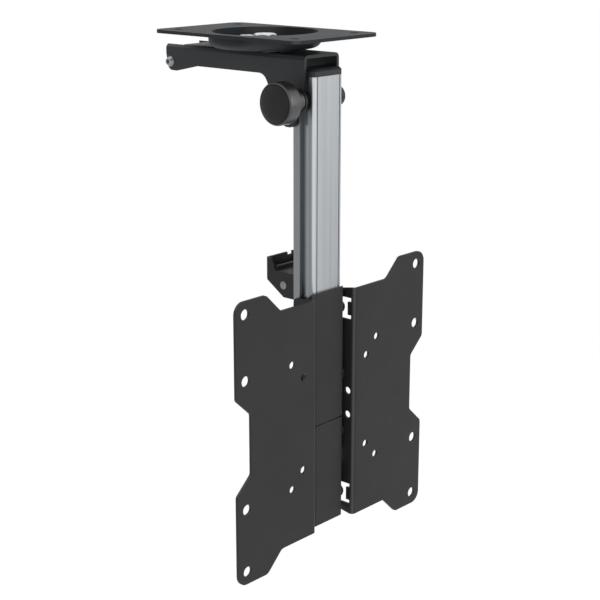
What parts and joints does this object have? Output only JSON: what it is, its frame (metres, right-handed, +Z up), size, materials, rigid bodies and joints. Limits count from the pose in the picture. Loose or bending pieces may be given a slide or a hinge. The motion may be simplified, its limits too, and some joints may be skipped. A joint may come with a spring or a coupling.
{
  "type": "folding tv ceiling mount",
  "caption": "Folding ceiling mount for a television: swivel plate, steel arm with a clamping knob, fold-up aluminium column and black steel wings drilled for the usual screen hole squares.",
  "frame": {"origin": "middle of the four ceiling holes, on the flat top of the ceiling plate, which is the ceiling's plane", "axes": "+Z up into the ceiling; the screen faces -Y; the column folds up towards +Y; +X is to the right seen from the screen's side"},
  "size_m": [0.22, 0.164, 0.3983],
  "materials": {
    "black_steel": "matt black powder coat",
    "arm_steel": "satin black powder coat",
    "column_aluminium": "satin anodised, fine lines along its length",
    "zinc": "bright zinc plate",
    "dark_hardware": "black zinc plate",
    "black_plastic": "fine moulded grain",
    "knob_plastic": "satin moulded",
    "nylon": "smooth",
    "steel_sleeve": "drawn tube",
    "brass_insert": "machined"
  },
  "bodies": {
    "plate": {"ceiling_plate": "black_steel", "swivel_bolt": "zinc", "swivel_head_washer": "zinc", "swivel_nut_washer": "zinc", "swivel_nut": "zinc"},
    "arm": {"arm_channel": "arm_steel", "friction_washer": "nylon", "swivel_bush": "nylon", "guide_bolts": "zinc", "guide_washers": "zinc", "guide_nuts": "zinc", "strike_studs": "zinc", "pivot_bolt": "dark_hardware", "knob_washer": "dark_hardware"},
    "knob": {"fold_knob": "knob_plastic", "knob_insert": "brass_insert"},
    "column": {"column_extrusion": "column_aluminium", "column_top_cap": "black_plastic", "column_bottom_cap": "black_plastic", "pivot_sleeve": "steel_sleeve", "pivot_washers": "nylon", "catch_housing": "black_steel", "catch_core": "black_plastic", "catch_pin": "zinc", "catch_screws": "dark_hardware", "saddle": "black_steel", "saddle_spacer": "dark_hardware", "left_wing": "black_steel", "right_wing": "black_steel", "clamp_bolts": "dark_hardware", "clamp_washers": "dark_hardware", "clamp_nuts": "dark_hardware", "wing_bolts": "dark_hardware", "wing_washers": "dark_hardware", "wing_nuts": "dark_hardware", "wing_spacers": "dark_hardware"}
  },
  "joints": [
    {"name": "swivel", "type": "hinge", "parent": "plate", "child": "arm", "pos_m": [0, 0, -0.0133], "axis": [0, 0, 1], "range_deg": [-45, 45]},
    {"name": "fold", "type": "hinge", "parent": "arm", "child": "column", "pos_m": [0, -0.052, -0.0463], "axis": [1, 0, 0], "range_deg": [0, 90]},
    {"name": "knob_turn", "type": "hinge", "parent": "arm", "child": "knob", "pos_m": [-0.03, -0.052, -0.0463], "axis": [-1, 0, 0], "continuous": true}
  ]
}
